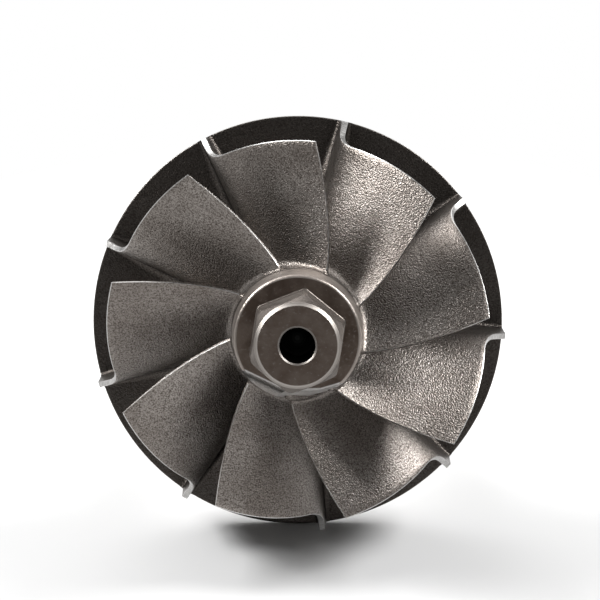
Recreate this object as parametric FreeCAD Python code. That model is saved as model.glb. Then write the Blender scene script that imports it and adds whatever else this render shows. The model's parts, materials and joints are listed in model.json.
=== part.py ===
import FreeCAD, Part
import math
import os

# Turbine wheel and shaft of a small exhaust turbocharger, in millimetres.
# One nickel alloy casting (disc, nine twisted blades, hub, hexagon nose) and the
# steel shaft that is friction welded to its back.
# Each solid is built about its own spin axis, +Z towards the nose, with the
# front face of the disc at z = 0. The last step lays the rotor down as it comes
# to rest on a flat surface, on the back edge of the disc and the end of the shaft.

# Wheel casting
wheel_diameter = 60.0
disc_rim_thickness = 1.6
disc_edge_chamfer = 0.25
disc_back_depth = 4.2
back_boss_diameter = 17.0
back_boss_height = 2.6
back_boss_fillet = 2.5
weld_pocket_diameter = 8.4
weld_pocket_depth = 6.5

# Gas path. The exducer ratio is the exducer's diameter over the wheel's.
inducer_height = 7.6
exducer_ratio = 0.895
exducer_tip_height = 22.9
exducer_hub_height = 24.3
shroud_bend_height = 13.8
hub_diameter = 18.3
disc_face_slope = 5.0
hub_flank_radius = 13.5

# Blades, angles counter-clockwise as seen from the nose
blade_count = 9
first_corner_angle = 124.65
blade_wrap_angle = 32.2
exducer_lean_angle = 19.5
camber_start_height = 8.7
blade_root_thickness_in = 1.9
blade_root_thickness_out = 1.4
blade_root_swell = 1.7
blade_tip_thickness_in = 0.85
blade_tip_thickness_out = 0.34
root_flare_power = 2.5
blade_root_sink = 0.9
blade_overrun = 1.0
blade_chord_steps = 5
blade_span_steps = [0.0, 0.12, 0.3, 0.6, 1.0]

# Hub end and hexagon nose
hub_length = 32.2
hub_end_diameter = 17.5
hub_edge_radius = 0.5
hexagon_across_flats = 12.0
hexagon_draft_angle = 0.8
hexagon_corner_radius = 0.8
hexagon_corner_angle = 21.0
hexagon_length = 11.2
hexagon_crown_diameter = 11.56
hexagon_crown_drop = 3.0
nose_edge_chamfer = 0.47
nose_bore_diameter = 4.8
nose_bore_depth = 12.0
nose_bore_chamfer = 0.24
drill_point_angle = 118.0

# Balance flats ground off the end of the hub: angle round the axis, distance
# from it at the end face, and slope against it
balance_flats = [(-115.4, 7.05, 15.0), (-88.0, 7.02, 11.0), (-73.6, 7.53, 8.0)]

# Shaft
seal_land_diameter = 17.0
seal_land_length = 8.0
ring_groove_width = 1.7
ring_groove_depth = 1.1
ring_groove_offset = 3.0
journal_diameter = 10.0
journal_length = 11.0
waist_diameter = 9.2
waist_length = 15.0
journal_edge_chamfer = 0.4
stem_diameter = 7.0
stem_length = 22.0
thread_diameter = 6.0
thread_length = 11.0
thread_relief_diameter = 4.9
thread_relief_width = 1.2
thread_end_chamfer = 0.6
centre_hole_diameter = 2.2
centre_hole_angle = 60.0

# Values that follow from the sizes above
wheel_radius = wheel_diameter / 2
exducer_radius = wheel_radius * exducer_ratio
hub_radius = hub_diameter / 2
hub_end_radius = hub_end_diameter / 2
back_boss_radius = back_boss_diameter / 2
disc_back_z = -disc_back_depth
weld_z = disc_back_z - back_boss_height
nose_z = hub_length + hexagon_length
blade_pitch = 360.0 / blade_count
spin_axis = FreeCAD.Vector(0, 0, 1)
origin = FreeCAD.Vector(0, 0, 0)


def profile_point(radius, height):
    return FreeCAD.Vector(radius, 0, height)


def line(start, end):
    return Part.LineSegment(profile_point(*start), profile_point(*end)).toShape()


def arc(start, middle, end):
    points = [profile_point(*place) for place in (start, middle, end)]
    return Part.Arc(*points).toShape()


def bezier(places):
    curve = Part.BezierCurve()
    curve.setPoles([profile_point(*place) for place in places])
    return curve.toShape()


def polyline(places):
    return [line(start, end) for start, end in zip(places, places[1:]) if start != end]


def revolved(edges):
    face = Part.Face(Part.Wire(edges))
    return face.revolve(origin, spin_axis, 360)


def turned(places):
    return revolved(polyline(places + places[:1]))


def on_spiral(radius, angle, height):
    turn = math.radians(angle)
    return FreeCAD.Vector(radius * math.cos(turn), radius * math.sin(turn), height)


# Meridional curves of the gas path, each a function of the way s along the
# blade, 0 at the inducer and 1 at the exducer.

def hub_flank():
    # Arc that runs from the sloping disc face, tangent to it, into the hub.
    slope = math.radians(disc_face_slope)
    centre_r = hub_radius + hub_flank_radius
    foot_r = centre_r - hub_flank_radius * math.sin(slope)
    foot_z = (wheel_radius - foot_r) * math.tan(slope)
    centre_z = foot_z + hub_flank_radius * math.cos(slope)
    return centre_r, centre_z, foot_r, foot_z


def on_hub_flank(turn):
    centre_r, centre_z = hub_flank()[:2]
    return centre_r - hub_flank_radius * math.sin(turn), centre_z - hub_flank_radius * math.cos(turn)


def hub_place(s):
    # Down the disc face, round the flank and up the hub, at an even pace.
    centre_r, centre_z, foot_r, foot_z = hub_flank()
    slope = math.radians(disc_face_slope)
    face_length = (wheel_radius - foot_r) / math.cos(slope)
    flank_length = hub_flank_radius * (math.pi / 2 - slope)
    travel = s * (face_length + flank_length + exducer_hub_height - centre_z)
    if travel < face_length:
        return wheel_radius - travel * math.cos(slope), travel * math.sin(slope)
    travel -= face_length
    if travel < flank_length:
        return on_hub_flank(slope + travel / hub_flank_radius)
    return hub_radius, centre_z + travel - flank_length


def shroud_bend():
    step_out = wheel_radius - exducer_radius
    rise = shroud_bend_height - inducer_height
    radius = (step_out ** 2 + rise ** 2) / (2 * step_out)
    sweep = math.asin(min(1.0, rise / radius))
    return radius, sweep


def shroud_place(s):
    radius, sweep = shroud_bend()
    bend_length = radius * sweep
    travel = s * (bend_length + exducer_tip_height - shroud_bend_height)
    if travel >= bend_length:
        return exducer_radius, shroud_bend_height + travel - bend_length
    turn = sweep - travel / radius
    return exducer_radius + radius * (1 - math.cos(turn)), shroud_bend_height - radius * math.sin(turn)


# Camber of the blade: radial and axial in the inducer, then a parabola that
# turns it to the swept-back, leaning exducer edge.

def exducer_edge_angle(radius):
    return -exducer_lean_angle * math.log(exducer_radius / radius)


def exducer_edge_height(radius):
    fraction = (exducer_radius - radius) / (exducer_radius - hub_radius)
    return exducer_tip_height + (exducer_hub_height - exducer_tip_height) * fraction


def camber_angle(radius, height):
    if height <= camber_start_height:
        return blade_wrap_angle
    fraction = (height - camber_start_height) / (exducer_edge_height(radius) - camber_start_height)
    return blade_wrap_angle - (blade_wrap_angle - exducer_edge_angle(radius)) * fraction ** 2


def blade_thickness(s, t):
    # Thin along the shroud, with a flare into the hub that is widest half way.
    along = max(0.0, s)
    share = max(0.0, min(1.0, t))
    root = blade_root_thickness_in + (blade_root_thickness_out - blade_root_thickness_in) * along
    root += blade_root_swell * math.sin(math.pi * min(1.0, along))
    tip = blade_tip_thickness_in + (blade_tip_thickness_out - blade_tip_thickness_in) * along
    return tip + (root - tip) * (1 - share) ** root_flare_power


def camber_point(s, t):
    reach = max(0.0, -s)
    hub_r, hub_z = hub_place(max(0.0, s))
    shroud_r, shroud_z = shroud_place(max(0.0, s))
    radius = hub_r + (shroud_r - hub_r) * t + reach * wheel_radius
    height = hub_z + (shroud_z - hub_z) * t
    return on_spiral(radius, camber_angle(radius, height), height)


def camber_normal(s, t):
    step = 1e-3
    along = camber_point(s + step, t) - camber_point(s - step, t)
    across = camber_point(s, t + step) - camber_point(s, t - step)
    return along.cross(across).normalize()


def blade_span(s):
    hub_r, hub_z = hub_place(max(0.0, s))
    shroud_r, shroud_z = shroud_place(max(0.0, s))
    return math.hypot(shroud_r - hub_r, shroud_z - hub_z)


def span_shares(s):
    span = blade_span(s)
    return [-blade_root_sink / span] + blade_span_steps + [1 + blade_overrun / span]


def blade_stations():
    inside = [step / blade_chord_steps for step in range(blade_chord_steps + 1)]
    return [-blade_overrun / wheel_radius] + inside


def blade_side(sign):
    rows = []
    for s in blade_stations():
        row = []
        for t in span_shares(s):
            half = sign * blade_thickness(s, t) / 2
            row.append(camber_point(s, t) + camber_normal(s, t) * half)
        rows.append(row)
    return rows


def spline_poles(places, parameters):
    curve = Part.BSplineCurve()
    curve.interpolate(Points=places, Parameters=parameters)
    return curve


def spline_face(rows):
    # Cubic surface through a grid of places, solved first across the blade and
    # then along it, so that both sides of the blade share one set of knots.
    across = span_shares(0.5)
    along = blade_stations()
    first = [spline_poles(row, across) for row in rows]
    columns = zip(*[curve.getPoles() for curve in first])
    second = [spline_poles(list(column), along) for column in columns]
    surface = Part.BSplineSurface()
    surface.buildFromPolesMultsKnots(
        [curve.getPoles() for curve in second],
        first[0].getMultiplicities(), second[0].getMultiplicities(),
        first[0].getKnots(), second[0].getKnots(),
        False, False, 3, 3)
    return surface


def side_edges(surface):
    u_low, u_high, v_low, v_high = surface.bounds()
    curves = [surface.uIso(u_low), surface.uIso(u_high), surface.vIso(v_low), surface.vIso(v_high)]
    return [curve.toShape() for curve in curves]


def blade_blank():
    front = spline_face(blade_side(1))
    rear = spline_face(blade_side(-1))
    rims = [Part.makeRuledSurface(a, b) for a, b in zip(side_edges(front), side_edges(rear))]
    shell = Part.makeShell([front.toShape(), rear.toShape()] + rims)
    shell.sewShape()
    solid = Part.makeSolid(shell)
    solid.fix(1e-5, 1e-5, 1e-3)
    if solid.Volume < 0:
        solid.reverse()
    return solid


def machined_envelope():
    # The casting is ground to this outline, which gives the blades their sharp
    # bright edges along the shroud.
    radius, sweep = shroud_bend()
    bend_middle = (
        exducer_radius + radius * (1 - math.cos(sweep / 2)),
        shroud_bend_height - radius * math.sin(sweep / 2),
    )
    top = max(exducer_hub_height, exducer_tip_height) + 2 * blade_overrun
    low = -disc_rim_thickness / 2
    edges = polyline([(0, low), (wheel_radius, low), (wheel_radius, inducer_height)])
    edges.append(arc((wheel_radius, inducer_height), bend_middle, (exducer_radius, shroud_bend_height)))
    edges += polyline([(exducer_radius, shroud_bend_height), (exducer_radius, top), (0, top), (0, low)])
    return revolved(edges)


def blade_ring():
    blade = blade_blank().common(machined_envelope()).Solids[0]
    blades = []
    for index in range(blade_count):
        copy = blade.copy()
        copy.rotate(origin, spin_axis, first_corner_angle - index * blade_pitch)
        blades.append(copy)
    return blades


def hub_front():
    centre_r, centre_z, foot_r, foot_z = hub_flank()
    middle = math.radians(disc_face_slope + 90) / 2
    face = line((wheel_radius, 0.0), (foot_r, foot_z))
    flank = arc((foot_r, foot_z), on_hub_flank(middle), (hub_radius, centre_z))
    barrel = polyline([
        (hub_radius, centre_z),
        (hub_radius, exducer_hub_height),
        (hub_end_radius, hub_length - hub_edge_radius),
    ])
    return [face, flank] + barrel


def wheel_body():
    rim_back = disc_edge_chamfer - disc_rim_thickness
    edge_turn = hub_edge_radius * (1 - math.sqrt(0.5))
    hub_edge = arc(
        (hub_end_radius, hub_length - hub_edge_radius),
        (hub_end_radius - edge_turn, hub_length - edge_turn),
        (hub_end_radius - hub_edge_radius, hub_length),
    )
    back_fillet = bezier([
        (back_boss_radius + back_boss_fillet, disc_back_z),
        (back_boss_radius, disc_back_z),
        (back_boss_radius, weld_z + back_boss_height / 4),
    ])
    edges = polyline([(0, hub_length), (0, weld_z), (back_boss_radius, weld_z),
                      (back_boss_radius, weld_z + back_boss_height / 4)])
    edges.append(back_fillet)
    edges += polyline([
        (back_boss_radius + back_boss_fillet, disc_back_z),
        (wheel_radius - disc_edge_chamfer, -disc_rim_thickness),
        (wheel_radius, rim_back),
        (wheel_radius, 0.0),
    ])
    edges += hub_front()
    edges.append(hub_edge)
    edges += polyline([(hub_end_radius - hub_edge_radius, hub_length), (0, hub_length)])
    return revolved(edges)


def hexagon_wire(height):
    # The flats close in on the axis towards the nose by the casting's draft.
    draft = (height - hub_length) * math.tan(math.radians(hexagon_draft_angle))
    corner = (hexagon_across_flats / 2 - draft) / math.cos(math.radians(30))
    places = [on_spiral(corner, hexagon_corner_angle + 60 * index, height) for index in range(7)]
    return Part.makePolygon(places)


def hexagon_prism():
    root = hub_length - hub_edge_radius
    prism = Part.makeLoft([hexagon_wire(root), hexagon_wire(nose_z)], True, True)
    rise = prism.BoundBox.ZLength
    uprights = [edge for edge in prism.Edges if edge.BoundBox.ZLength > rise / 2]
    return prism.makeFillet(hexagon_corner_radius, uprights)


def hexagon_crown():
    # Turned end of the hexagon: a steep cone that takes its corners off, and a
    # narrow chamfer round the flat end face.
    crown = hexagon_crown_diameter / 2
    face = crown - nose_edge_chamfer
    reach = hexagon_across_flats
    slope = hexagon_crown_drop / (hexagon_across_flats / math.cos(math.radians(30)) / 2 - crown)
    shoulder = nose_z - nose_edge_chamfer
    return turned([
        (0, 0),
        (reach, 0),
        (reach, shoulder - slope * (reach - crown)),
        (crown, shoulder),
        (face, nose_z),
        (0, nose_z),
    ])


def nose_bore():
    radius = nose_bore_diameter / 2
    floor = nose_z - nose_bore_depth
    point = radius / math.tan(math.radians(drill_point_angle / 2))
    flare = nose_bore_chamfer
    return turned([
        (0, floor - point),
        (radius, floor),
        (radius, nose_z - flare),
        (radius + 2 * flare, nose_z + flare),
        (0, nose_z + flare),
    ])


def balance_flat(angle, distance, slope):
    # Everything beyond a sloping flat that starts on the end face of the hub
    # and runs out through its side.
    reach = hub_radius + hub_edge_radius
    depth = (reach - distance) / math.tan(math.radians(slope))
    places = [
        (distance, hub_length),
        (reach, hub_length - depth),
        (reach, hub_length),
    ]
    wedge = Part.Face(Part.Wire(polyline(places + places[:1])))
    wedge.translate(FreeCAD.Vector(0, -reach, 0))
    cutter = wedge.extrude(FreeCAD.Vector(0, 2 * reach, 0))
    cutter.rotate(origin, spin_axis, angle)
    return cutter


def weld_pocket():
    return Part.makeCylinder(
        weld_pocket_diameter / 2, weld_pocket_depth, FreeCAD.Vector(0, 0, weld_z))


def turbine_wheel():
    hub = wheel_body().cut([balance_flat(*flat) for flat in balance_flats])
    nose = hexagon_prism().common(hexagon_crown())
    wheel = hub.fuse([nose] + blade_ring())
    return wheel.cut([nose_bore(), weld_pocket()]).Solids[0]


def shaft_steps():
    # Walks down the shaft from the weld, one turned step after another.
    land = seal_land_diameter / 2
    groove = land - ring_groove_depth
    journal = journal_diameter / 2
    waist = waist_diameter / 2
    stem = stem_diameter / 2
    thread = thread_diameter / 2
    relief = thread_relief_diameter / 2
    chamfer = journal_edge_chamfer
    waist_step = journal - waist
    steps = [
        (land, ring_groove_offset), (groove, 0), (groove, ring_groove_width), (land, 0),
        (land, seal_land_length - ring_groove_offset - ring_groove_width - chamfer),
        (land - chamfer, chamfer),
        (journal, 0), (journal, journal_length),
        (waist, waist_step), (waist, waist_length), (journal, waist_step),
        (journal, journal_length - chamfer), (journal - chamfer, chamfer),
        (stem, 0), (stem, stem_length),
        (relief, stem - relief), (relief, thread_relief_width), (thread, thread - relief),
        (thread, thread_length - thread_end_chamfer), (thread - thread_end_chamfer, thread_end_chamfer),
    ]
    return steps


def shaft_outline():
    places = [(0, weld_z), (seal_land_diameter / 2, weld_z)]
    height = weld_z
    for radius, drop in shaft_steps():
        height -= drop
        places.append((radius, height))
    centre = centre_hole_diameter / 2
    depth = centre / math.tan(math.radians(centre_hole_angle / 2))
    return places + [(centre, height), (0, height + depth)]


def rotor_shaft():
    return turned(shaft_outline())


def rest_tilt():
    # Angle of the spin axis when the rotor lies on the back edge of its disc
    # and the rim of its threaded end.
    rim_z = disc_edge_chamfer - disc_rim_thickness
    end_z = shaft_outline()[-4][1]
    return math.degrees(math.atan2(wheel_radius - thread_diameter / 2, rim_z - end_z))


def laid_down(shapes):
    turn = FreeCAD.Rotation(FreeCAD.Vector(1, 0, 0), 90 - rest_tilt())
    for shape in shapes:
        shape.Placement = FreeCAD.Placement(origin, turn).multiply(shape.Placement)
    box = Part.makeCompound(shapes).optimalBoundingBox(False, False)
    shift = FreeCAD.Vector(0, -(box.YMin + box.YMax) / 2, -box.ZMin)
    for shape in shapes:
        shape.translate(shift)


def main():
    nodes = {"turbine_wheel": turbine_wheel(), "rotor_shaft": rotor_shaft()}
    laid_down(list(nodes.values()))
    os.makedirs("parts", exist_ok=True)
    for name, shape in nodes.items():
        shape.exportStep("parts/" + name + ".step")
        print(name, shape.isValid(), len(shape.Solids), round(shape.Volume, 1))


main()
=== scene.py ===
import json
import math

import bmesh
import bpy
import numpy as np
from mathutils import Matrix, Vector

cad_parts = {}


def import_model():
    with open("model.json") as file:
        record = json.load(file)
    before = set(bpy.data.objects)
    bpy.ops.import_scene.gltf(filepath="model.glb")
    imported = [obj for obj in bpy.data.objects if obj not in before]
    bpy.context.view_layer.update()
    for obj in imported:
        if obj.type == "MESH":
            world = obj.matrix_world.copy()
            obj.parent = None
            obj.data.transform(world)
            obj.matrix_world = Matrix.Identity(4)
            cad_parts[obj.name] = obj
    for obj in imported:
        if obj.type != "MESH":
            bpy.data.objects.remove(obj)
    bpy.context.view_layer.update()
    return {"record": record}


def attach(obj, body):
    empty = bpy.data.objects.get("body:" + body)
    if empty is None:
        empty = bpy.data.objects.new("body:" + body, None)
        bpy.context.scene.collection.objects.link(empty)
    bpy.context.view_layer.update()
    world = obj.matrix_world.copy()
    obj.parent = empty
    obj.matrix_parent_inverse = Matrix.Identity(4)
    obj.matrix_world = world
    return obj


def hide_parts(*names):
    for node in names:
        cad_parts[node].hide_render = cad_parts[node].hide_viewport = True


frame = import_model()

# Sizes in millimetres about the rotor's own spin axis, with +z towards the nose
# and the front face of the disc at z = 0, as in the part's source.
MM = 0.001
WHEEL_R = 30.0
EXDUCER_R = 26.85
HUB_R = 9.15
INDUCER_H = 7.6
BEND_H = 13.8
TIP_H = 22.9
ROOT_H = 24.3
FACE_SLOPE = math.radians(5.0)
FLANK_R = 13.5
RIM_BACK = 1.6
RIM_CHAMFER = 0.25
RIM_FRONT = ((0.0, -0.12), (0.05, -0.03), (0.12, 0.01))
FACE_INSET = 0.3
BACK_DEPTH = 4.2
BOSS_R = 8.5
BOSS_H = 2.6
BOSS_FILLET = 2.5
BOSS_FILLET_H = BOSS_FILLET * 0.85
WELD = -BACK_DEPTH - BOSS_H

BLADES = 9
FIRST_ANGLE = 124.65
WRAP = 32.2
LEAN = 19.5
CAMBER_START = 8.7

HUB_H = 32.2
HUB_END_R = 8.75
HUB_EDGE = 0.5
HUB_FACE_RINGS = (7.9, 7.4, 6.9, 6.3, 5.5, 4.5)
NOSE_SOCKET = 3.0
NOSE_SINK = 4.0
NOSE_H = 11.2
NOSE_Z = HUB_H + NOSE_H
NOSE_MOUNT_Z = 38.0
HEX_FLATS = 12.0
HEX_DRAFT = math.tan(math.radians(0.8))
HEX_ANGLE = 21.0
HEX_CORNER_R = 0.8
HEX_FOOT_FILLET = 0.18
CROWN_R = 5.78
CROWN_DROP = 3.0
NOSE_CHAMFER = 0.47
BORE_R = 2.4
BORE_DEPTH = 12.0
BORE_CHAMFER = 0.24
DRILL_HALF_ANGLE = math.radians(59)

# Each flat's angle round the hub, distance from the axis at the end face, and slope.
BALANCE_FLATS = ((-115.4, 7.05, 15.0), (-88.0, 7.02, 11.0), (-73.6, 7.53, 8.0))


# The rotor's own frame, placed where the record says the nose hexagon is.

def mount(name):
    return next(m for m in frame["record"]["mounts"] if m["name"] == name)


nose = mount("nose_hexagon")
spin = Vector(nose["axis"]).normalized()
side = Vector((1.0, 0.0, 0.0))
upward = spin.cross(side).normalized()
origin = Vector(nose["pos_m"]) - spin * (NOSE_MOUNT_Z * MM)
ROTOR = Matrix.Translation(origin) @ Matrix((
    (side.x, upward.x, spin.x, 0.0),
    (side.y, upward.y, spin.y, 0.0),
    (side.z, upward.z, spin.z, 0.0),
    (0.0, 0.0, 0.0, 1.0)))


# Meridional curves. Places along a blade run from s = 0 at the rim of the disc
# to s = 1 at the exducer edge, and from t = 0 on the hub to t = 1 on the shroud.

FLANK_CENTRE_R = HUB_R + FLANK_R
FLANK_FOOT_R = FLANK_CENTRE_R - FLANK_R * math.sin(FACE_SLOPE)
FLANK_FOOT_Z = (WHEEL_R - FLANK_FOOT_R) * math.tan(FACE_SLOPE)
FLANK_CENTRE_Z = FLANK_FOOT_Z + FLANK_R * math.cos(FACE_SLOPE)
FACE_LENGTH = (WHEEL_R - FLANK_FOOT_R) / math.cos(FACE_SLOPE)
FLANK_LENGTH = FLANK_R * (math.pi / 2 - FACE_SLOPE)
HUB_LENGTH = FACE_LENGTH + FLANK_LENGTH + ROOT_H - FLANK_CENTRE_Z
BEND_IN = WHEEL_R - EXDUCER_R
BEND_UP = BEND_H - INDUCER_H
BEND_RADIUS = (BEND_IN ** 2 + BEND_UP ** 2) / (2 * BEND_IN)
BEND_SWEEP = math.asin(BEND_UP / BEND_RADIUS)


def hub_place(s):
    travel = s * HUB_LENGTH
    turn = FACE_SLOPE + np.clip(travel - FACE_LENGTH, 0, FLANK_LENGTH) / FLANK_R
    r = FLANK_CENTRE_R - FLANK_R * np.sin(turn)
    z = FLANK_CENTRE_Z - FLANK_R * np.cos(turn)
    on_face = travel < FACE_LENGTH
    r = np.where(on_face, WHEEL_R - travel * math.cos(FACE_SLOPE), r)
    z = np.where(on_face, travel * math.sin(FACE_SLOPE), z)
    z = z + np.maximum(travel - FACE_LENGTH - FLANK_LENGTH, 0)
    return r, z


def shroud_place(s):
    bend = BEND_RADIUS * BEND_SWEEP
    travel = s * (bend + TIP_H - BEND_H)
    turn = np.clip(BEND_SWEEP - travel / BEND_RADIUS, 0, None)
    r = EXDUCER_R + BEND_RADIUS * (1 - np.cos(turn))
    z = np.where(travel < bend, BEND_H - BEND_RADIUS * np.sin(turn), BEND_H + travel - bend)
    return r, z


def camber_angle(r, z):
    edge_angle = -LEAN * np.log(EXDUCER_R / r)
    edge_z = TIP_H + (ROOT_H - TIP_H) * (EXDUCER_R - r) / (EXDUCER_R - HUB_R)
    share = np.clip((z - CAMBER_START) / (edge_z - CAMBER_START), 0, None)
    return WRAP - (WRAP - edge_angle) * share ** 2


def camber_point(s, t):
    hub_r, hub_z = hub_place(s)
    shroud_r, shroud_z = shroud_place(s)
    r = hub_r + (shroud_r - hub_r) * t
    z = hub_z + (shroud_z - hub_z) * t
    a = np.radians(camber_angle(r, z))
    return np.stack([r * np.cos(a), r * np.sin(a), z], -1)


def unit(v):
    return v / np.linalg.norm(v, axis=-1, keepdims=True)


def smooth(x):
    x = np.clip(x, 0, 1)
    return x * x * (3 - 2 * x)


# One blade: a closed ring of places round the blade, carried from its root to
# the shroud. A rolled fillet widens it into the hub.

CHORD = 76
CAP = 7
FILLET_ROWS = 10
SPAN_ROWS = 17
TIP_ROW = FILLET_ROWS + SPAN_ROWS + 1
ROOT_SINK = 0.9
EDGE_BREAK = 0.07
EDGE_LAND = 0.12
TIP_THICKNESS = (0.85, 0.29)
ROOT_THICKNESS = (1.30, 0.52)
ROOT_SWELL = 1.0
FILLET_AT_RIM = 0.55
FILLET_GAIN = 0.95
FILLET_LOSS = 0.85
BLADE_SKIN, BLADE_EDGE = range(2)


def half_thickness(s, t):
    tip_rim, tip_edge = TIP_THICKNESS
    root_rim, root_edge = ROOT_THICKNESS
    tip = (tip_rim + (tip_edge - tip_rim) * smooth(s * 1.4)) / 2
    root = (root_rim + (root_edge - root_rim) * s + ROOT_SWELL * np.sin(math.pi * s)) / 2
    return tip + (root - tip) * (1 - np.clip(t, 0, 1)) ** 1.5


def fillet_radius(s):
    return FILLET_AT_RIM + FILLET_GAIN * smooth(s / 0.3) - FILLET_LOSS * smooth((s - 0.72) / 0.28)


def hub_distance(p):
    # Signed height above the hub surface and the direction that leads off it.
    curve_r, curve_z = hub_place(np.linspace(0, 1.15, 900))
    r = np.hypot(p[..., 0], p[..., 1])
    z = p[..., 2]
    gap = (curve_r - r[..., None]) ** 2 + (curve_z - z[..., None]) ** 2
    near = np.clip(gap.argmin(-1), 1, len(curve_r) - 2)
    along_r = curve_r[near + 1] - curve_r[near - 1]
    along_z = curve_z[near + 1] - curve_z[near - 1]
    length = np.hypot(along_r, along_z)
    off_r, off_z = along_z / length, -along_r / length
    height = (r - curve_r[near]) * off_r + (z - curve_z[near]) * off_z
    away = np.stack([off_r * p[..., 0] / r, off_r * p[..., 1] / r, off_z], -1)
    return height, away


def row_shape(row, radius, span):
    # A row's height above the hub along the chord, and how far it flares there.
    if row == 0:
        return np.full(CHORD, -ROOT_SINK), radius
    if row <= FILLET_ROWS:
        roll = math.pi / 2 * (1 - (row - 1) / (FILLET_ROWS - 1))
        return radius * (1 - math.sin(roll)), radius * (1 - math.cos(roll))
    if row == TIP_ROW:
        return span, np.full(CHORD, -EDGE_BREAK)
    if row == TIP_ROW - 1:
        return span - EDGE_LAND, np.zeros(CHORD)
    share = (row - FILLET_ROWS) / SPAN_ROWS
    return radius + (span - radius) * share, np.zeros(CHORD)


def blade_ring(s, span, rise, flare):
    # Places round the blade at this rise: one side, the rounded exducer edge,
    # and the other side back to the rim.
    step = 1e-3
    t = rise / span
    middle = camber_point(s, t)
    along = unit(camber_point(s + step, t) - camber_point(s - step, t))
    across = camber_point(s, t + step) - camber_point(s, t - step)
    normal = unit(np.cross(along, across))
    half = half_thickness(s, t) + flare
    left = middle + normal * half[:, None]
    right = middle - normal * half[:, None]
    cap = [
        middle[-1] + normal[-1] * half[-1] * math.sin(a) + along[-1] * flare[-1] * math.cos(a)
        for a in np.linspace(math.pi / 2, -math.pi / 2, CAP + 2)[1:-1]
    ]
    return np.concatenate([left, np.array(cap), right[::-1]])


def blade_rows():
    s = np.linspace(0, 1, CHORD)
    hub_r, hub_z = hub_place(s)
    shroud_r, shroud_z = shroud_place(s)
    span = np.hypot(shroud_r - hub_r, shroud_z - hub_z)
    radius = fillet_radius(s)
    rows = []
    for row in range(TIP_ROW + 1):
        rise, flare = row_shape(row, radius, span)
        ring = blade_ring(s, span, rise, flare)
        target = np.concatenate([rise, np.full(CAP, rise[-1]), rise[::-1]])
        fade = 1 - smooth(3 * (row - FILLET_ROWS) / SPAN_ROWS)
        for _ in range(2):
            height, away = hub_distance(ring)
            ring = ring - away * ((height - target) * fade)[:, None]
        for first in (0, len(ring) - 1):
            ring[first, :2] *= WHEEL_R / math.hypot(*ring[first, :2])
        rows.append(ring)
    top_r, _ = shroud_place(np.concatenate([s, np.ones(CAP), s[::-1]]))
    scale = top_r / np.hypot(rows[-1][:, 0], rows[-1][:, 1])
    rows[-1][:, :2] *= scale[:, None]
    return rows


def blade_mesh():
    rows = blade_rows()
    ring = len(rows[0])
    faces, kinds = [], []
    for row in range(TIP_ROW):
        low, high = row * ring, (row + 1) * ring
        for i in range(ring):
            j = (i + 1) % ring
            faces.append((low + i, low + j, high + j, high + i))
            on_cap = CHORD - 1 <= i < CHORD + CAP // 2
            on_edge = (on_cap and row >= FILLET_ROWS) or i == ring - 1 or row == TIP_ROW - 1
            kinds.append(BLADE_EDGE if on_edge else BLADE_SKIN)
    for base, flip, kind in ((0, True, BLADE_SKIN), (TIP_ROW * ring, False, BLADE_EDGE)):
        for i in range(CHORD - 2):
            quad = (base + i, base + i + 1, base + ring - 2 - i, base + ring - 1 - i)
            faces.append(quad[::-1] if flip else quad)
            kinds.append(kind)
        end = tuple(base + i for i in range(CHORD - 2, ring - CHORD + 2))
        faces.append(end[::-1] if flip else end)
        kinds.append(kind)
    return np.concatenate(rows), faces, kinds


# Meshes turned about the spin axis.

def steps(start, stop, count):
    return [
        tuple(p + (q - p) * i / count for p, q in zip(start, stop))
        for i in range(1, count + 1)
    ]


def turned(profile, segments):
    # Closed at both ends: the last two faces are the start's and the end's.
    places, faces = [], []
    for r, z in profile:
        for i in range(segments):
            a = 2 * math.pi * i / segments
            places.append((r * math.cos(a), r * math.sin(a), z))
    for row in range(len(profile) - 1):
        for i in range(segments):
            j = (i + 1) % segments
            low, high = row * segments, (row + 1) * segments
            faces.append((low + i, low + j, high + j, high + i))
    last = (len(profile) - 1) * segments
    faces.append(tuple(range(segments))[::-1])
    faces.append(tuple(last + i for i in range(segments)))
    return places, faces


def new_piece(name, places, faces, materials, kinds=None, sharp=32.0):
    data = bpy.data.meshes.new(name)
    data.from_pydata([ROTOR @ (Vector(p) * MM) for p in places], [], faces)
    for material in materials:
        data.materials.append(material)
    if kinds is not None:
        data.polygons.foreach_set("material_index", kinds)
    data.polygons.foreach_set("use_smooth", [True] * len(data.polygons))
    data.set_sharp_from_angle(angle=math.radians(sharp))
    data.validate()
    data.update()
    piece = bpy.data.objects.new(name, data)
    bpy.context.scene.collection.objects.link(piece)
    return piece


# The hub and the disc.

HUB_SEGMENTS = 256
HUB_SKIN, HUB_TURNED, HUB_END, HUB_BACK, HUB_FLAT, HUB_FINE_FLAT = range(6)


def back_profile():
    # From the weld face up the boss and its fillet, and out over the back.
    fillet_z = -BACK_DEPTH - BOSS_FILLET_H
    places = [(BOSS_R, WELD), (BOSS_R, fillet_z)]
    for i in range(1, 12):
        u = i / 12
        places.append((
            BOSS_R + BOSS_FILLET * u * u,
            fillet_z * (1 - u) ** 2 - BACK_DEPTH * (1 - (1 - u) ** 2)))
    inner_r = BOSS_R + BOSS_FILLET
    outer_r = WHEEL_R - RIM_CHAMFER
    slope = (BACK_DEPTH - RIM_BACK) / (outer_r - inner_r)
    places += [(r, -BACK_DEPTH + (r - inner_r) * slope) for r in np.linspace(inner_r, outer_r, 24)]
    return places + [(WHEEL_R, -RIM_BACK + RIM_CHAMFER)]


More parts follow.
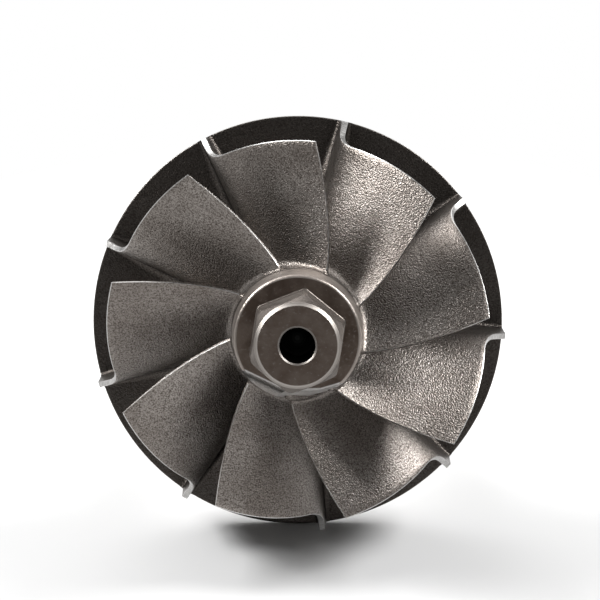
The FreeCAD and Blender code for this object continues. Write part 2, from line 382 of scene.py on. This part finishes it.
def hub_profile():
    places = back_profile()
    places += [(WHEEL_R - inset, z) for inset, z in RIM_FRONT]
    face = zip(*hub_place(np.linspace(0, 1, 110)))
    places += [(r, z) for r, z in face if r < WHEEL_R - FACE_INSET]
    places += steps((HUB_R, ROOT_H), (HUB_END_R, HUB_H - HUB_EDGE), 10)[:-1]
    for i in range(11):
        a = math.radians(9.0 * i)
        places.append((
            HUB_END_R - HUB_EDGE + HUB_EDGE * math.cos(a),
            HUB_H - HUB_EDGE + HUB_EDGE * math.sin(a)))
    places += [(r, HUB_H) for r in HUB_FACE_RINGS]
    places.append((HUB_FACE_RINGS[-1], HUB_H - NOSE_SOCKET))
    return places


def hub_kind(z):
    if z < -0.02:
        return HUB_BACK
    if z > HUB_H - 0.01:
        return HUB_END
    if z > ROOT_H + 0.8:
        return HUB_TURNED
    return HUB_SKIN


def grind_flats(piece):
    # Grinds the balance flats off the front end of the hub.
    mesh = bmesh.new()
    mesh.from_mesh(piece.data)
    for number, (angle, distance, slope) in enumerate(BALANCE_FLATS):
        a, tilt = math.radians(angle), math.radians(slope)
        outward = (side * math.cos(a) + upward * math.sin(a)).normalized()
        place = origin + (outward * distance + spin * HUB_H) * MM
        normal = (outward * math.cos(tilt) + spin * math.sin(tilt)).normalized()
        faces = [
            f for f in mesh.faces
            if min((v.co - origin).dot(spin) for v in f.verts) > (FLANK_CENTRE_Z + 0.2) * MM
            and (f.calc_center_median() - origin).dot(outward) > 0
        ]
        # Dictionaries keep the order, so the cut numbers its faces alike each time.
        verts = dict.fromkeys(v for f in faces for v in f.verts)
        edges = dict.fromkeys(e for f in faces for e in f.edges)
        cut = bmesh.ops.bisect_plane(
            mesh, geom=[*verts, *edges, *faces], dist=1e-7,
            plane_co=place, plane_no=normal, clear_outer=True)
        rim = [e for e in cut["geom_cut"] if isinstance(e, bmesh.types.BMEdge) and e.is_boundary]
        made = bmesh.ops.contextual_create(mesh, geom=rim)
        for face in made["faces"]:
            face.material_index = HUB_FINE_FLAT if number else HUB_FLAT
    bmesh.ops.recalc_face_normals(mesh, faces=mesh.faces)
    mesh.to_mesh(piece.data)
    mesh.free()


# The hexagon nose, drawn as one ring of rays from the spin axis.

CORNER_STEPS = 12
FLAT_STEPS = 14
HEX_SKIN, HEX_CHAMFER, HEX_FACE, HEX_BORE = range(4)


def hexagon_rays():
    apothem = HEX_FLATS / 2
    centre = (apothem - HEX_CORNER_R) / math.cos(math.radians(30))
    half_flat = (apothem - HEX_CORNER_R) * math.tan(math.radians(30))
    rays = []
    for corner in range(6):
        middle = math.radians(HEX_ANGLE + 60 * corner)
        for i in range(CORNER_STEPS + 1):
            a = middle + math.radians(-30 + 60 * i / CORNER_STEPS)
            x = centre * math.cos(middle) + HEX_CORNER_R * math.cos(a)
            y = centre * math.sin(middle) + HEX_CORNER_R * math.sin(a)
            rays.append((x, y))
        flat = middle + math.radians(30)
        for i in range(1, FLAT_STEPS):
            along = -half_flat + 2 * half_flat * i / FLAT_STEPS
            x = apothem * math.cos(flat) - along * math.sin(flat)
            y = apothem * math.sin(flat) + along * math.cos(flat)
            rays.append((x, y))
    return rays


def nose_column(full):
    # Outline of the nose along the ray that leaves the hexagon's foot at this
    # radius, in bands that each carry the number of their material.
    draft = HEX_DRAFT / (HEX_FLATS / 2)
    slope = CROWN_DROP / (HEX_FLATS / 2 / math.cos(math.radians(30)) - CROWN_R)
    shoulder = NOSE_Z - NOSE_CHAMFER
    lean = full * draft
    crown_z = (CROWN_R + shoulder / slope - full - lean * HUB_H) / (1 / slope - lean)
    crown_foot = (full - lean * (crown_z - HUB_H), crown_z)
    crown_top = (CROWN_R, shoulder)
    face_edge = (CROWN_R - NOSE_CHAMFER, NOSE_Z)
    mouth = (BORE_R + BORE_CHAMFER, NOSE_Z)
    throat = (BORE_R, NOSE_Z - BORE_CHAMFER)
    bore_end = (BORE_R, NOSE_Z - BORE_DEPTH)
    point_z = bore_end[1] - BORE_R / math.tan(DRILL_HALF_ANGLE)
    foot = [
        (full + HEX_FOOT_FILLET * (1 - math.sin(a)), HUB_H + HEX_FOOT_FILLET * (1 - math.cos(a)))
        for a in (math.radians(22.5 * i) for i in range(5))
    ]
    bands = [
        (HEX_SKIN, foot),
        (HEX_SKIN, steps(foot[-1], crown_foot, 8)),
        (HEX_SKIN, steps(crown_foot, crown_top, 4)),
        (HEX_CHAMFER, steps(crown_top, face_edge, 3)),
        (HEX_FACE, steps(face_edge, mouth, 6)),
        (HEX_CHAMFER, steps(mouth, throat, 2)),
        (HEX_BORE, steps(throat, bore_end, 8)),
        (HEX_BORE, [(BORE_R * 0.5, (bore_end[1] + point_z) / 2)]),
    ]
    places = [(full, HUB_H - NOSE_SINK)]
    kinds = []
    for kind, band in bands:
        places += band
        kinds += [kind] * len(band)
    return places, kinds, point_z


def nose_mesh():
    places, faces, kinds = [], [], []
    rays = hexagon_rays()
    for x, y in rays:
        r = math.hypot(x, y)
        column, bands, point_z = nose_column(r)
        places += [(cr * x / r, cr * y / r, cz) for cr, cz in column]
    rows = len(bands) + 1
    tip = len(places)
    places.append((0, 0, point_z))
    for i in range(len(rays)):
        low, high = i * rows, (i + 1) % len(rays) * rows
        for row in range(rows - 1):
            faces.append((low + row, high + row, high + row + 1, low + row + 1))
            kinds.append(bands[row])
        faces.append((low + rows - 1, high + rows - 1, tip))
        kinds.append(HEX_BORE)
    faces.append(tuple(i * rows for i in range(len(rays)))[::-1])
    kinds.append(HEX_SKIN)
    return places, faces, kinds


# Materials. Every pattern follows the rotor's own coordinates, in metres.

CAST_DARK, CAST_LIGHT = (0.21, 0.187, 0.169), (0.31, 0.284, 0.262)
CAST_SPECK = (0.080, 0.066, 0.057)
# Painted shade: the dark colour that the casting fades to down in the passages and on the disc.
PAINTED_PASSAGE_SHADE = (0.030, 0.026, 0.023)
PAINTED_SHADE_HEIGHT = 0.009
EDGE_DARK, EDGE_LIGHT = (0.34, 0.33, 0.318), (0.66, 0.65, 0.637)
HUB_FACE_DARK, HUB_FACE_LIGHT = (0.105, 0.078, 0.062), (0.185, 0.148, 0.124)
NOSE_FACE_DARK, NOSE_FACE_LIGHT = (0.130, 0.098, 0.080), (0.190, 0.155, 0.132)
FACE_SPECK = (0.26, 0.225, 0.20)
# Painted highlight along the edges of the balance flats: its colour, and how far in from the edge
# it starts and becomes full.
EDGE_HIGHLIGHT = (0.80, 0.78, 0.76)
EDGE_HIGHLIGHT_WIDTH = (0.24, 0.12)


def material(name):
    made = bpy.data.materials.new(name)
    made.use_nodes = True
    tree = made.node_tree
    tree.nodes.clear()
    shader = tree.nodes.new("ShaderNodeBsdfPrincipled")
    output = tree.nodes.new("ShaderNodeOutputMaterial")
    tree.links.new(shader.outputs["BSDF"], output.inputs["Surface"])
    return made, tree, shader


def node(tree, kind, **settings):
    made = tree.nodes.new(kind)
    for key, value in settings.items():
        setattr(made, key, value)
    return made


def noise(tree, vector, scale, detail=2.0, rough=0.5):
    made = node(tree, "ShaderNodeTexNoise")
    made.inputs["Scale"].default_value = scale
    made.inputs["Detail"].default_value = detail
    made.inputs["Roughness"].default_value = rough
    tree.links.new(vector, made.inputs["Vector"])
    return made.outputs["Fac"]


def remap(tree, value, low, high, to_low, to_high):
    made = node(tree, "ShaderNodeMapRange")
    limits = zip(("From Min", "From Max", "To Min", "To Max"), (low, high, to_low, to_high))
    for key, number in limits:
        made.inputs[key].default_value = number
    tree.links.new(value, made.inputs["Value"])
    return made.outputs["Result"]


def blend_colour(tree, factor, first, second):
    made = node(tree, "ShaderNodeMix", data_type="RGBA")
    for socket, value in ((made.inputs[6], first), (made.inputs[7], second)):
        if isinstance(value, tuple):
            socket.default_value = (*value, 1.0)
        else:
            tree.links.new(value, socket)
    tree.links.new(factor, made.inputs[0])
    return made.outputs[2]


def graded(tree, value, low, high, first, second):
    # The first colour where the value is low, the second where it is high.
    return blend_colour(tree, remap(tree, value, low, high, 0.0, 1.0), first, second)


def calc(tree, operation, *values):
    made = node(tree, "ShaderNodeMath", operation=operation)
    for socket, value in zip(made.inputs, values):
        if isinstance(value, (int, float)):
            socket.default_value = value
        else:
            tree.links.new(value, socket)
    return made.outputs[0]


def average(tree, first, share, second):
    rest = calc(tree, "MULTIPLY", second, 1.0 - share)
    return calc(tree, "ADD", calc(tree, "MULTIPLY", first, share), rest)


def dot(tree, place, direction):
    made = node(tree, "ShaderNodeVectorMath", operation="DOT_PRODUCT")
    made.inputs[1].default_value = direction
    tree.links.new(place, made.inputs[0])
    return made.outputs["Value"]


def plane_place(tree, x, y=None):
    made = node(tree, "ShaderNodeCombineXYZ")
    tree.links.new(x, made.inputs[0])
    if y is not None:
        tree.links.new(y, made.inputs[1])
    return made.outputs[0]


def bump(tree, shader, heights):
    previous = None
    for height, distance, strength in heights:
        made = node(tree, "ShaderNodeBump")
        made.inputs["Distance"].default_value = distance
        made.inputs["Strength"].default_value = strength
        tree.links.new(height, made.inputs["Height"])
        if previous is not None:
            tree.links.new(previous, made.inputs["Normal"])
        previous = made.outputs["Normal"]
    tree.links.new(previous, shader.inputs["Normal"])


def metal(tree, shader, colour, roughness):
    tree.links.new(colour, shader.inputs["Base Color"])
    shader.inputs["Metallic"].default_value = 1.0
    if isinstance(roughness, float):
        shader.inputs["Roughness"].default_value = roughness
    else:
        tree.links.new(roughness, shader.inputs["Roughness"])


def rotor_place(tree):
    # Object coordinates taken back into the rotor's own frame.
    back = node(tree, "ShaderNodeMapping", vector_type="TEXTURE")
    back.inputs["Location"].default_value = origin
    back.inputs["Rotation"].default_value = ROTOR.to_euler()
    tree.links.new(node(tree, "ShaderNodeTexCoord").outputs["Object"], back.inputs["Vector"])
    return back.outputs[0]


def split(tree, place):
    parts = node(tree, "ShaderNodeSeparateXYZ")
    tree.links.new(place, parts.inputs[0])
    return parts.outputs


def radius_of(tree, place):
    parts = split(tree, place)
    length = node(tree, "ShaderNodeVectorMath", operation="LENGTH")
    tree.links.new(plane_place(tree, parts[0], parts[1]), length.inputs[0])
    return length.outputs["Value"]


def painted_edge_highlight(tree, place):
    # Painted highlight: a bright line on the hub's end face along the edge of each balance flat,
    # where the edge catches the light.
    share = None
    for angle, distance, slope in BALANCE_FLATS:
        a, tilt = math.radians(angle), math.radians(slope)
        normal = (math.cos(a) * math.cos(tilt), math.sin(a) * math.cos(tilt), math.sin(tilt))
        level = distance * math.cos(tilt) + HUB_H * math.sin(tilt)
        start, full = ((level - width) * MM for width in EDGE_HIGHLIGHT_WIDTH)
        near = remap(tree, dot(tree, place, normal), start, full, 0.0, 1.0)
        share = near if share is None else calc(tree, "MAXIMUM", share, near)
    return share


def cast_material():
    # Sand-blasted casting, with painted shade that darkens it down in the passages and on the
    # disc.
    made, tree, shader = material("cast_skin")
    place = rotor_place(tree)
    grain = noise(tree, place, 4200, 3.0, 0.65)
    sand = noise(tree, place, 4600, 1.0)
    fine = noise(tree, place, 7000, 2.0, 0.6)
    coarse = noise(tree, place, 900)
    cloud = noise(tree, place, 110, 3.0, 0.6)
    skin = graded(tree, cloud, 0.35, 0.65, CAST_DARK, CAST_LIGHT)
    skin = graded(tree, grain, 0.36, 0.58, CAST_SPECK, skin)
    # Painted shade: the colour darkens towards the disc, down in the passages where the blades
    # shade it.
    depth = remap(tree, split(tree, place)[2], 0.0, PAINTED_SHADE_HEIGHT, 1.0, 0.0)
    colour = blend_colour(tree, calc(tree, "MULTIPLY", depth, 0.80), skin, PAINTED_PASSAGE_SHADE)
    metal(tree, shader, colour, remap(tree, coarse, 0.3, 0.7, 0.34, 0.38))
    bump(tree, shader, ((sand, 0.00010, 0.9), (fine, 0.00003, 0.7), (coarse, 0.00003, 0.2)))
    return made


def ground_material():
    # Bright lands left by the grinding wheel on the blade edges.
    made, tree, shader = material("ground_edge")
    stretch = node(tree, "ShaderNodeMapping")
    stretch.inputs["Scale"].default_value = (1.0, 1.0, 9.0)
    tree.links.new(rotor_place(tree), stretch.inputs["Vector"])
    marks = noise(tree, stretch.outputs[0], 1500)
    colour = graded(tree, marks, 0.3, 0.7, EDGE_DARK, EDGE_LIGHT)
    metal(tree, shader, colour, remap(tree, marks, 0.3, 0.7, 0.28, 0.42))
    bump(tree, shader, ((marks, 0.00002, 0.4),))
    return made


def flat_material(name, flat, dark, light, depth, lines):
    # Balance flat with the parallel marks of the grinding stone, which run
    # across the flat's outward direction.
    made, tree, shader = material(name)
    place = rotor_place(tree)
    turn = math.radians(BALANCE_FLATS[flat][0])
    outward = dot(tree, place, (math.cos(turn), math.sin(turn), 0.35))
    marks = noise(tree, plane_place(tree, outward), lines, 2.0, 0.6)
    mixed = average(tree, marks, 0.75, noise(tree, place, 2600))
    metal(tree, shader, graded(tree, mixed, 0.42, 0.56, dark, light), 0.44)
    bump(tree, shader, ((marks, depth, 0.8),))
    return made


def machined_face_material():
    # Flat faces at the front of the hub and the nose: turned once, then dulled
    # and speckled.
    made, tree, shader = material("machined_face")
    place = rotor_place(tree)
    height = split(tree, place)[2]
    grain = noise(tree, place, 2400, 3.0, 0.6)
    cloud = noise(tree, place, 300, 3.0, 0.6)
    nose_share = remap(tree, height, 0.0335, 0.040, 0.0, 1.0)
    dark = blend_colour(tree, nose_share, HUB_FACE_DARK, NOSE_FACE_DARK)
    light = blend_colour(tree, nose_share, HUB_FACE_LIGHT, NOSE_FACE_LIGHT)
    soft = graded(tree, cloud, 0.35, 0.65, dark, light)
    speckled = blend_colour(tree, remap(tree, grain, 0.60, 0.70, 0.0, 0.6), soft, FACE_SPECK)
    on_hub = calc(tree, "LESS_THAN", height, (HUB_H + 0.1) * MM)
    # Painted highlight along the balance flats' edges, on the hub's end face only.
    rim = calc(tree, "MULTIPLY", painted_edge_highlight(tree, place), on_hub)
    metal(tree, shader, blend_colour(tree, rim, speckled, EDGE_HIGHLIGHT), 0.42)
    bump(tree, shader, ((grain, 0.00005, 0.6),))
    return made


def turned_material(name, dark, light, roughness, rings, grit=0.3):
    # Lathe-turned metal: fine rings about the spin axis.
    made, tree, shader = material(name)
    place = rotor_place(tree)
    radius, height = radius_of(tree, place), split(tree, place)[2]
    line = plane_place(
        tree, calc(tree, "ADD", radius, height), calc(tree, "SUBTRACT", radius, height))
    ringed = noise(tree, line, rings, 2.0, 0.6)
    grain = noise(tree, place, 2600)
    cloud = noise(tree, place, 160, 3.0)
    colour = graded(tree, average(tree, ringed, 0.6, cloud), 0.36, 0.64, dark, light)
    metal(tree, shader, colour, remap(tree, cloud, 0.3, 0.7, roughness - 0.05, roughness + 0.07))
    bump(tree, shader, ((ringed, 0.00002, 0.5), (grain, 0.00006 * grit, grit)))
    return made


cast = cast_material()
ground = ground_material()
coarse_flat = flat_material(
    "balance_flat", 0, (0.05, 0.045, 0.041), (0.86, 0.84, 0.82), 0.00006, 1500)
fine_flat = flat_material(
    "balance_flat_fine", 1, (0.62, 0.60, 0.59), (0.84, 0.83, 0.82), 0.00001, 2600)
machined = machined_face_material()
hub_turned = turned_material(
    "turned_hub", (0.22, 0.19, 0.168), (0.40, 0.36, 0.33), 0.40, 2600, 0.9)
hexagon = turned_material(
    "milled_hexagon", (0.13, 0.112, 0.10), (0.25, 0.222, 0.20), 0.40, 2600, 0.7)
# Painted shade: the bore's wall and drill point get a darker colour than the hexagon they are
# drilled in.
bore_painted_shade = turned_material("bore_painted_shade", (0.06, 0.062, 0.06), (0.12, 0.122, 0.118), 0.50, 2600)
nose_ring = turned_material("nose_ring", (0.24, 0.218, 0.20), (0.36, 0.335, 0.31), 0.48, 2600)
turned_back = turned_material("turned_back", (0.26, 0.242, 0.226), (0.40, 0.38, 0.36), 0.36, 1500)
steel = turned_material("ground_steel", (0.46, 0.45, 0.44), (0.60, 0.595, 0.585), 0.27, 3400)


# Pieces of the wheel.

blade_places, blade_faces, blade_kinds = blade_mesh()
wheel_pieces = []
for index in range(BLADES):
    turn = math.radians(FIRST_ANGLE - 360.0 / BLADES * index)
    turning = np.array([
        [math.cos(turn), -math.sin(turn), 0],
        [math.sin(turn), math.cos(turn), 0],
        [0, 0, 1]])
    wheel_pieces.append(new_piece(
        "blade_%d" % (index + 1), blade_places @ turning.T, blade_faces,
        [cast, ground], blade_kinds, 40.0))

profile = hub_profile()
hub_places, hub_faces = turned(profile, HUB_SEGMENTS)
hub_kinds = []
for (_, low_z), (_, high_z) in zip(profile, profile[1:]):
    hub_kinds += [hub_kind((low_z + high_z) / 2)] * HUB_SEGMENTS
hub_kinds += [HUB_BACK, HUB_END]
hub = new_piece(
    "hub_and_disc", hub_places, hub_faces,
    [cast, hub_turned, machined, turned_back, coarse_flat, fine_flat], hub_kinds)
grind_flats(hub)
hub.data.set_sharp_from_angle(angle=math.radians(32.0))
wheel_pieces.append(hub)

nose_places, nose_faces, nose_kinds = nose_mesh()
wheel_pieces.append(new_piece(
    "hexagon_nose", nose_places, nose_faces,
    [hexagon, nose_ring, machined, bore_painted_shade], nose_kinds, 24.0))

for piece in wheel_pieces:
    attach(piece, "root")
    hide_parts("turbine_wheel")


# The shaft, with a real thread at its end.

FLANGE_R = 8.5
GROOVE_R = 7.4
JOURNAL_R = 5.0
RELIEF_R = 4.6
STEM_R = 3.5
UNDERCUT_R = 2.45
CENTRE_HOLE_R = 1.1
THREAD_R = 3.0
THREAD_ROOT_R = 2.58
THREAD_PITCH = 0.75
THREAD_TOP = -77.4
THREAD_CHAMFER = 0.6
SHAFT_END = -88.4
SHAFT_SEGMENTS = 144
THREAD_SEGMENTS = 72
RING_STEP = 1.5

# Radius and depth below the weld face: seal flange with its ring groove, two
# journals with the relief between them, stem, and undercut.
SHAFT_STEPS = (
    (FLANGE_R, 0.0), (FLANGE_R, 2.9), (FLANGE_R - 0.1, 3.0), (GROOVE_R, 3.0), (GROOVE_R, 4.7),
    (FLANGE_R - 0.1, 4.7), (FLANGE_R, 4.8), (FLANGE_R, 7.6), (FLANGE_R - 0.4, 8.0),
    (JOURNAL_R + 0.25, 8.0), (JOURNAL_R, 8.25), (JOURNAL_R, 19.0),
    (RELIEF_R, 19.4), (RELIEF_R, 34.4),
    (JOURNAL_R, 34.8), (JOURNAL_R, 45.4), (RELIEF_R, 45.8),
    (STEM_R + 0.2, 45.8), (STEM_R, 46.0), (STEM_R, 67.8),
    (UNDERCUT_R, 68.85), (UNDERCUT_R, 70.05), (THREAD_ROOT_R, 70.2),
)

# One turn of the thread: share of the pitch, and radius.
THREAD_SHAPE = (
    (0.0, THREAD_ROOT_R), (0.12, THREAD_ROOT_R), (0.46, THREAD_R), (0.58, THREAD_R),
    (0.92, THREAD_ROOT_R),
)


def shaft_profile():
    corners = [(r, WELD - depth) for r, depth in SHAFT_STEPS] + [
        (THREAD_ROOT_R, SHAFT_END + 0.2), (THREAD_ROOT_R - 0.2, SHAFT_END),
        (CENTRE_HOLE_R, SHAFT_END), (0.95, SHAFT_END + 0.3), (0.3, SHAFT_END + 1.1),
    ]
    places = [corners[0]]
    for start, stop in zip(corners, corners[1:]):
        length = math.hypot(stop[0] - start[0], stop[1] - start[1])
        places += steps(start, stop, max(1, int(length / RING_STEP)))
    return places


def thread_place(row, i):
    share, r = THREAD_SHAPE[row % len(THREAD_SHAPE)]
    turns = row // len(THREAD_SHAPE) - 1 + share + i / THREAD_SEGMENTS
    z = SHAFT_END + THREAD_PITCH * turns
    crest = THREAD_R + min(0.0, z - SHAFT_END - THREAD_CHAMFER, THREAD_TOP + 0.1 - z)
    out = max(THREAD_ROOT_R - 0.05, min(r, crest))
    z = min(max(z, SHAFT_END + 0.12), THREAD_TOP + 0.3)
    a = 2 * math.pi * i / THREAD_SEGMENTS
    return out * math.cos(a), out * math.sin(a), z


def thread_mesh():
    turn_rows = len(THREAD_SHAPE)
    rows = (int((THREAD_TOP - SHAFT_END) / THREAD_PITCH) + 3) * turn_rows
    places = [thread_place(row, i) for row in range(rows) for i in range(THREAD_SEGMENTS)]
    faces = []
    for row in range(rows - 1):
        low, high = row * THREAD_SEGMENTS, (row + 1) * THREAD_SEGMENTS
        for i in range(THREAD_SEGMENTS - 1):
            faces.append((low + i, low + i + 1, high + i + 1, high + i))
        if row + 1 + turn_rows < rows:
            # The last column leads on to the first one of the next turn.
            turn = turn_rows * THREAD_SEGMENTS
            faces.append((high - 1, low + turn, high + turn, high + THREAD_SEGMENTS - 1))
    return places, faces


def join_seams(piece, sharp):
    mesh = bmesh.new()
    mesh.from_mesh(piece.data)
    bmesh.ops.remove_doubles(mesh, verts=mesh.verts, dist=2e-6)
    bmesh.ops.dissolve_degenerate(mesh, dist=1e-6, edges=mesh.edges)
    bmesh.ops.recalc_face_normals(mesh, faces=mesh.faces)
    mesh.to_mesh(piece.data)
    mesh.free()
    piece.data.set_sharp_from_angle(angle=math.radians(sharp))


shaft_meshes = (
    ("shaft", turned(shaft_profile(), SHAFT_SEGMENTS), 24.0),
    ("shaft_thread", thread_mesh(), 30.0),
)
for name, (places, faces), sharp in shaft_meshes:
    piece = new_piece(name, places, faces, [steel], sharp=sharp)
    join_seams(piece, sharp)
    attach(piece, "root")
    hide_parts("rotor_shaft")


# Floor, light and camera, in metres.

FLOOR_REACH = 6.0
FLOOR_DROP = 0.00005
RIM_CONTACT_Y = -0.03
SHAFT_CONTACT_Y = 0.064
SHADOW_REACH = (0.030, 0.085)
FRONT_DIM = (-0.13, -0.06)
FRONT_GREY, NEAR_GREY = (0.32, 0.32, 0.32), (0.66, 0.66, 0.66)
WORLD_STRENGTH = 0.24
LAMP_SPREAD = math.radians(70)
LAMP_TARGET = (0.0, -0.02, 0.03)
LAMPS = (
    ("left_softbox", (-0.68, 0.09, 0.67), (0.42, 0.40), 2.2),
    ("right_softbox", (0.67, 0.10, 0.67), (0.42, 0.40), 2.0),
    ("back_softbox", (-0.24, 0.62, 0.78), (0.90, 0.50), 0.75),
)
CAMERA_TILT = 0.070233
CAMERA_PAN = -0.000242
CAMERA_SHIFT = (-0.338728, -3.032, -450.0)
PIXELS_PER_MM = 6.813874
PICTURE_PIXELS = 600.0
SENSOR = 36.0


def floor():
    # Diffuse round the rotor's footprint, where it keeps the shadow, and plain
    # white farther out, for camera rays and for reflections alike. For the light
    # that bounces off it, it stays diffuse, and darker in front of the wheel.
    data = bpy.data.meshes.new("floor")
    reach = FLOOR_REACH
    corners = [(-reach, -reach, 0), (reach, -reach, 0), (reach, reach, 0), (-reach, reach, 0)]
    data.from_pydata(corners, [], [(0, 1, 2, 3)])
    made, tree, shader = material("pale_floor")
    shader.inputs["Roughness"].default_value = 0.9
    shader.inputs["Specular IOR Level"].default_value = 0.0
    white = node(tree, "ShaderNodeEmission")
    white.inputs["Strength"].default_value = 1.0
    place = node(tree, "ShaderNodeTexCoord").outputs["Object"]
    depth = split(tree, place)[1]
    foot = node(tree, "ShaderNodeCombineXYZ")
    foot_limits = (RIM_CONTACT_Y, SHAFT_CONTACT_Y)
    tree.links.new(remap(tree, depth, *foot_limits, *foot_limits), foot.inputs[1])
    away = node(tree, "ShaderNodeVectorMath", operation="DISTANCE")
    tree.links.new(place, away.inputs[0])
    tree.links.new(foot.outputs[0], away.inputs[1])
    far = remap(tree, away.outputs["Value"], *SHADOW_REACH, 0.0, 1.0)
    grey = graded(tree, depth, *FRONT_DIM, FRONT_GREY, NEAR_GREY)
    tree.links.new(grey, shader.inputs["Base Color"])
    path = node(tree, "ShaderNodeLightPath").outputs
    mirrored = calc(tree, "MAXIMUM", path["Is Glossy Ray"], path["Is Transmission Ray"])
    seen = calc(tree, "MAXIMUM", path["Is Camera Ray"], mirrored)
    mixed = node(tree, "ShaderNodeMixShader")
    tree.links.new(calc(tree, "MULTIPLY", far, seen), mixed.inputs[0])
    tree.links.new(shader.outputs[0], mixed.inputs[1])
    tree.links.new(white.outputs[0], mixed.inputs[2])
    output = next(n for n in tree.nodes if n.bl_idname == "ShaderNodeOutputMaterial")
    tree.links.new(mixed.outputs[0], output.inputs["Surface"])
    data.materials.append(made)
    plane = bpy.data.objects.new("floor", data)
    plane.location = (0.0, 0.0, -FLOOR_DROP)
    bpy.context.scene.collection.objects.link(plane)


def lamp(name, place, size, power):
    data = bpy.data.lights.new(name, "AREA")
    data.shape = "RECTANGLE"
    data.size, data.size_y = size
    data.energy = power
    data.spread = LAMP_SPREAD
    made = bpy.data.objects.new(name, data)
    made.location = place
    aim = Vector(LAMP_TARGET) - Vector(place)
    made.rotation_mode = "QUATERNION"
    made.rotation_quaternion = aim.to_track_quat("-Z", "Y")
    bpy.context.scene.collection.objects.link(made)


def world():
    made = bpy.data.worlds.new("studio")
    bpy.context.scene.world = made
    made.use_nodes = True
    background = made.node_tree.nodes["Background"]
    background.inputs["Color"].default_value = (1.0, 1.0, 1.0, 1.0)
    background.inputs["Strength"].default_value = WORLD_STRENGTH


def camera():
    # Pinhole camera fitted to the photograph, in the rotor's own frame.
    shift = Vector(CAMERA_SHIFT)
    ca, sa = math.cos(CAMERA_TILT), math.sin(CAMERA_TILT)
    cb, sb = math.cos(CAMERA_PAN), math.sin(CAMERA_PAN)
    right = Vector((cb, 0.0, sb))
    above = Vector((sa * sb, ca, -sa * cb))
    behind = Vector((-sb * ca, sa, cb * ca))
    place = -(right * shift.x + above * shift.y + behind * shift.z) * MM
    local = Matrix((
        (right.x, above.x, behind.x, place.x),
        (right.y, above.y, behind.y, place.y),
        (right.z, above.z, behind.z, place.z),
        (0.0, 0.0, 0.0, 1.0)))
    data = bpy.data.cameras.new("camera")
    data.sensor_width = SENSOR
    data.lens = SENSOR * PIXELS_PER_MM * -shift.z / PICTURE_PIXELS
    data.clip_start = 0.01
    data.clip_end = 50.0
    made = bpy.data.objects.new("camera", data)
    made.matrix_world = ROTOR @ local
    bpy.context.scene.collection.objects.link(made)
    bpy.context.scene.camera = made


floor()
world()
camera()
for name, place, size, power in LAMPS:
    lamp(name, place, size, power)

bpy.context.scene.view_settings.view_transform = "Standard"
